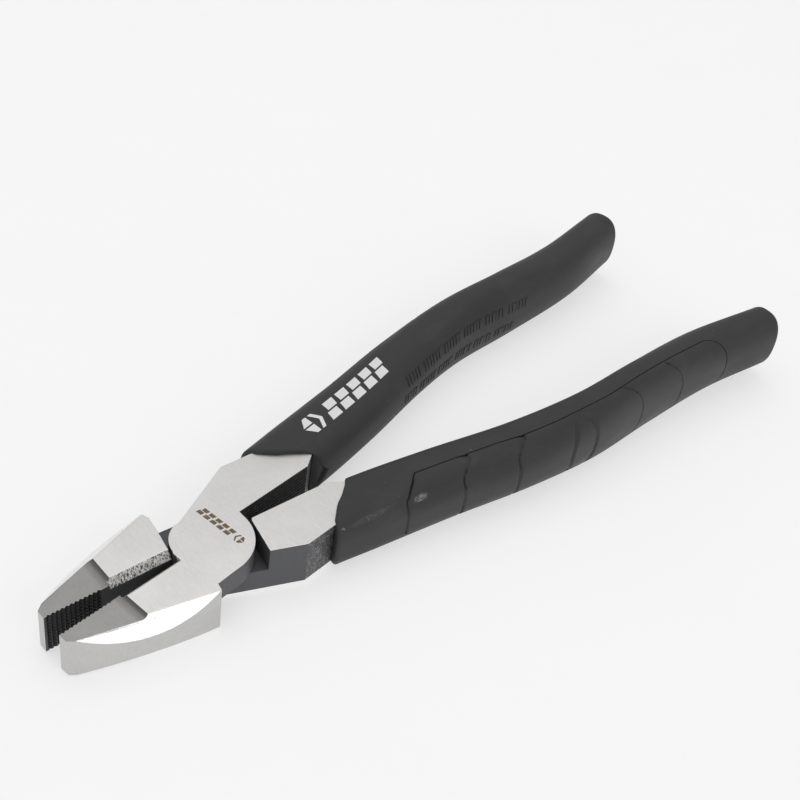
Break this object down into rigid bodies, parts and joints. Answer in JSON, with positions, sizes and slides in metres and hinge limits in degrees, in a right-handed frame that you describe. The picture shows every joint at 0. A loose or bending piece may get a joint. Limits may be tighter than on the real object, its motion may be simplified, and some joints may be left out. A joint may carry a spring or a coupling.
{
  "type": "lineman pliers",
  "caption": "Hinged gripping and cutting pliers with a flush-riveted lap joint, serrated nose, side cutters and two-part rubber grips.",
  "frame": {"origin": "on the rivet's axis, in the joint's lower flat face", "axes": "+X towards the nose, +Z along the rivet from the lower face to the upper face, +Y towards the upper half's jaw"},
  "size_m": [0.2435, 0.0804, 0.0223],
  "materials": {
    "forged_steel": "satin ground faces, dark oxide on the forged flanks",
    "rivet_steel": "ground flush",
    "grip_rubber": "matte black moulded elastomer",
    "panel_rubber": "matte black soft elastomer with finger grooves"
  },
  "bodies": {
    "upper_side": {"upper_half": "forged_steel", "pivot_rivet": "rivet_steel", "upper_grip": "grip_rubber", "upper_grip_panel": "panel_rubber"},
    "lower_side": {"lower_half": "forged_steel", "lower_grip": "grip_rubber", "lower_grip_panel": "panel_rubber"}
  },
  "joints": [
    {"name": "jaw_hinge", "type": "hinge", "parent": "upper_side", "child": "lower_side", "pos_m": [0, 0, 0.00655], "axis": [0, 0, -1], "range_deg": [-7.5, 40]}
  ]
}
